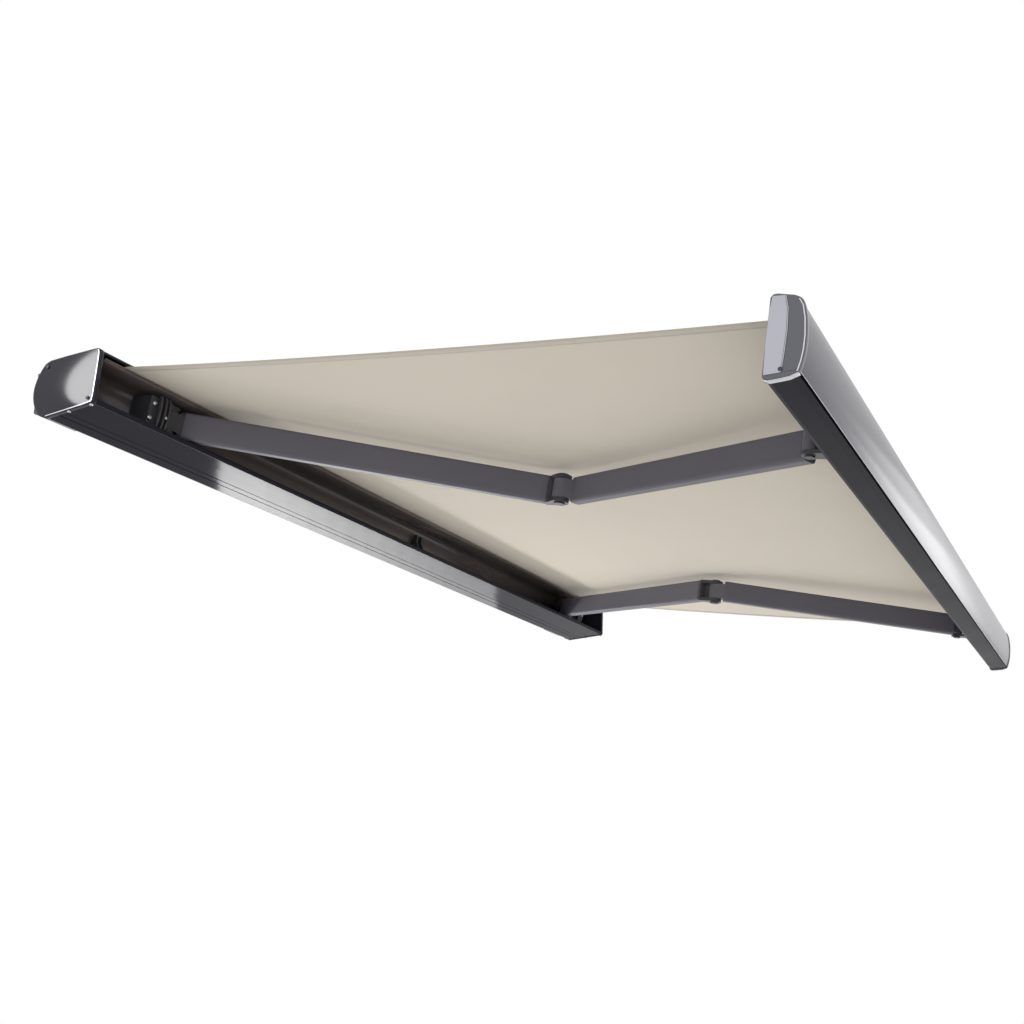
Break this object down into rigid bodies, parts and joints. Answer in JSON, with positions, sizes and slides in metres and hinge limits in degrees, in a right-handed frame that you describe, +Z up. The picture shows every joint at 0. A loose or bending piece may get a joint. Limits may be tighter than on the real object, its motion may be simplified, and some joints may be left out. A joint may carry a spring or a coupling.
{
  "type": "canvas awning",
  "caption": "Folding-arm canvas awning with a closed box cassette, sprung folding arms, a front bar that shuts the cassette, and a fabric roller with tubular motor; for fixing to a wall.",
  "frame": {"origin": "centre of the wall face of the middle wall bracket", "axes": "+X along the awning, +Y into the wall, the awning reaches out along -Y and slopes down, +Z up"},
  "size_m": [3.0148, 1.9359, 0.5267],
  "materials": {
    "anthracite": "smooth anthracite powder coat",
    "arm_coat": "anthracite powder coat",
    "cast_dark": "coated cast aluminium",
    "bar_silver": "satin grey powder coat",
    "zinc_steel": "zinc plated steel",
    "dark_steel": "blackened steel",
    "mill_aluminium": "mill finish",
    "beige_fabric": "woven acrylic canvas",
    "black_plastic": "moulded"
  },
  "bodies": {
    "casing": {"cassette_hood": "anthracite", "cassette_back_profile": "anthracite", "end_cap_left": "anthracite", "end_cap_right": "anthracite", "bearing_plate_left": "cast_dark", "bearing_plate_right": "cast_dark", "cap_screw_upper_left": "zinc_steel", "cap_screw_upper_right": "zinc_steel", "cap_screw_lower_left": "zinc_steel", "cap_screw_lower_right": "zinc_steel", "wall_bracket_left": "cast_dark", "wall_bracket_center": "cast_dark", "wall_bracket_right": "cast_dark", "bracket_clamp_left": "cast_dark", "bracket_clamp_center": "cast_dark", "bracket_clamp_right": "cast_dark", "clamp_screw_left": "zinc_steel", "clamp_screw_center": "zinc_steel", "clamp_screw_right": "zinc_steel", "tubular_motor": "zinc_steel", "motor_head": "black_plastic", "shoulder_bracket_left": "cast_dark", "shoulder_bracket_right": "cast_dark", "shoulder_pin_left": "zinc_steel", "shoulder_pin_right": "zinc_steel", "arm_rest_left": "black_plastic", "arm_rest_right": "black_plastic", "awning_fabric": "beige_fabric"},
    "roller": {"roller_tube": "mill_aluminium", "wound_fabric": "beige_fabric", "idler_plug": "black_plastic", "drive_wheel": "black_plastic", "roller_crown": "black_plastic"},
    "front_bar": {"front_bar_profile": "bar_silver", "front_bar_back": "anthracite", "bar_cap_left": "anthracite", "bar_cap_right": "anthracite", "bar_screw_left": "zinc_steel", "bar_screw_right": "zinc_steel", "fabric_welt_rod": "black_plastic", "hand_bracket_left": "cast_dark", "hand_bracket_right": "cast_dark", "hand_pin_left": "zinc_steel", "hand_pin_right": "zinc_steel"},
    "upper_left": {"shoulder_joint_left": "cast_dark", "upper_arm_left": "arm_coat", "elbow_fork_left": "cast_dark", "elbow_pin_left": "dark_steel"},
    "fore_left": {"elbow_knuckle_left": "cast_dark", "forearm_left": "arm_coat", "hand_joint_left": "cast_dark", "tension_spring_left": "zinc_steel"},
    "upper_right": {"shoulder_joint_right": "cast_dark", "upper_arm_right": "arm_coat", "elbow_fork_right": "cast_dark", "elbow_pin_right": "dark_steel"},
    "fore_right": {"elbow_knuckle_right": "cast_dark", "forearm_right": "arm_coat", "hand_joint_right": "cast_dark", "tension_spring_right": "zinc_steel"}
  },
  "joints": [
    {"name": "arm_fold", "type": "hinge", "parent": "casing", "child": "upper_left", "pos_m": [-1.2145, -0.185, 0], "axis": [0, -0.2079, 0.9781], "range_deg": [0, 56.46], "deforming": ["awning_fabric"]},
    {"name": "elbow_left", "type": "hinge", "parent": "upper_left", "child": "fore_left", "pos_m": [-0.6308, -1.0575, -0.18546], "axis": [0, -0.2079, 0.9781], "range_deg": [-120.2, 0]},
    {"name": "hand_left", "type": "hinge", "parent": "fore_left", "child": "front_bar", "pos_m": [-1.0045, -1.81079, -0.34557], "axis": [0, -0.2079, 0.9781], "range_deg": [0, 63.74]},
    {"name": "shoulder_right", "type": "hinge", "parent": "casing", "child": "upper_right", "pos_m": [1.2145, -0.185, 0], "axis": [0, -0.2079, 0.9781], "range_deg": [-56.47, 0]},
    {"name": "elbow_right", "type": "hinge", "parent": "upper_right", "child": "fore_right", "pos_m": [0.6308, -1.0575, -0.18546], "axis": [0, -0.2079, 0.9781], "range_deg": [0, 120.2]},
    {"name": "roller_spin", "type": "hinge", "parent": "casing", "child": "roller", "pos_m": [0, -0.0852, 0.0366], "axis": [1, 0, 0], "continuous": true}
  ],
  "couplings": [
    {"joint": "elbow_left", "follows": "arm_fold", "ratio": -2.1288},
    {"joint": "hand_left", "follows": "arm_fold", "ratio": 1.1288},
    {"joint": "shoulder_right", "follows": "arm_fold", "ratio": -1},
    {"joint": "elbow_right", "follows": "arm_fold", "ratio": 2.1288},
    {"joint": "roller_spin", "follows": "arm_fold", "ratio": -40.643}
  ]
}
